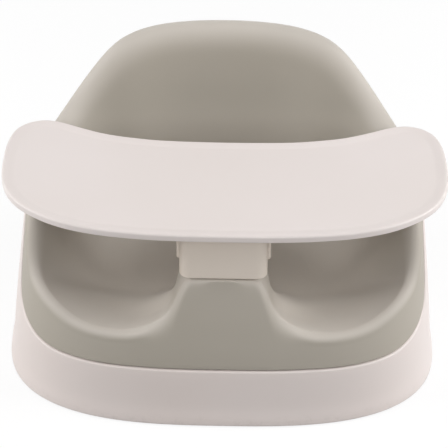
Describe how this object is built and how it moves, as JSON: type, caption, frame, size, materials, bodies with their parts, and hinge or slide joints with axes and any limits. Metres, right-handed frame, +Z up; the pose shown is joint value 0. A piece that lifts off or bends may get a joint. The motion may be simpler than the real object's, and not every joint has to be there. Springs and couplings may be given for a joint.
{
  "type": "baby floor seat",
  "caption": "Low moulded baby seat: a foam insert with a pommel and leg openings stands in a flared plastic base, with a lift-off tray on a central post.",
  "frame": {"origin": "middle of the footprint on the floor, at the underside of the rubber feet", "axes": "+Z up, -Y towards the front of the seat where the tray post stands, +X to the right seen from the front"},
  "size_m": [0.375, 0.3372, 0.242],
  "materials": {
    "shell_plastic": "satin moulded",
    "tray_plastic": "satin moulded",
    "hidden_plastic": "matt moulded",
    "moulded_foam": "smooth skinned foam, satin",
    "rubber": "matt",
    "steel": "satin zinc"
  },
  "bodies": {
    "base": {"base_shell": "shell_plastic", "bottom_plate": "hidden_plastic", "tray_socket": "hidden_plastic", "rubber_foot_1": "rubber", "rubber_foot_2": "rubber", "rubber_foot_3": "rubber", "rubber_foot_4": "rubber", "plate_screw_1": "steel", "plate_screw_2": "steel", "plate_screw_3": "steel", "plate_screw_4": "steel", "plate_screw_5": "steel", "plate_screw_6": "steel", "socket_screw_1": "steel", "socket_screw_2": "steel", "socket_screw_3": "steel", "socket_screw_4": "steel"},
    "insert": {"foam_insert": "moulded_foam"},
    "tray": {"tray_top": "tray_plastic", "tray_stem": "tray_plastic", "latch_clip": "steel", "tray_screw_1": "steel", "tray_screw_2": "steel", "tray_screw_3": "steel", "tray_screw_4": "steel"},
    "button_left": {"release_button_left": "tray_plastic"},
    "button_right": {"release_button_right": "tray_plastic"}
  },
  "joints": [
    {"name": "insert_lift", "type": "slide", "parent": "base", "child": "insert", "axis": [0, 0, 1], "range_m": [0, 0.15], "deforming": ["latch_clip"]},
    {"name": "tray_lift", "type": "slide", "parent": "insert", "child": "tray", "axis": [0, 0, 1], "range_m": [0, 0.075], "deforming": ["latch_clip"]},
    {"name": "button_left_press", "type": "slide", "parent": "tray", "child": "button_left", "axis": [1, 0, 0], "range_m": [0, 0.003], "stiffness_N_per_m": 600, "deforming": ["latch_clip"]},
    {"name": "button_right_press", "type": "slide", "parent": "tray", "child": "button_right", "axis": [-1, 0, 0], "range_m": [0, 0.003], "stiffness_N_per_m": 600, "deforming": ["latch_clip"]}
  ]
}
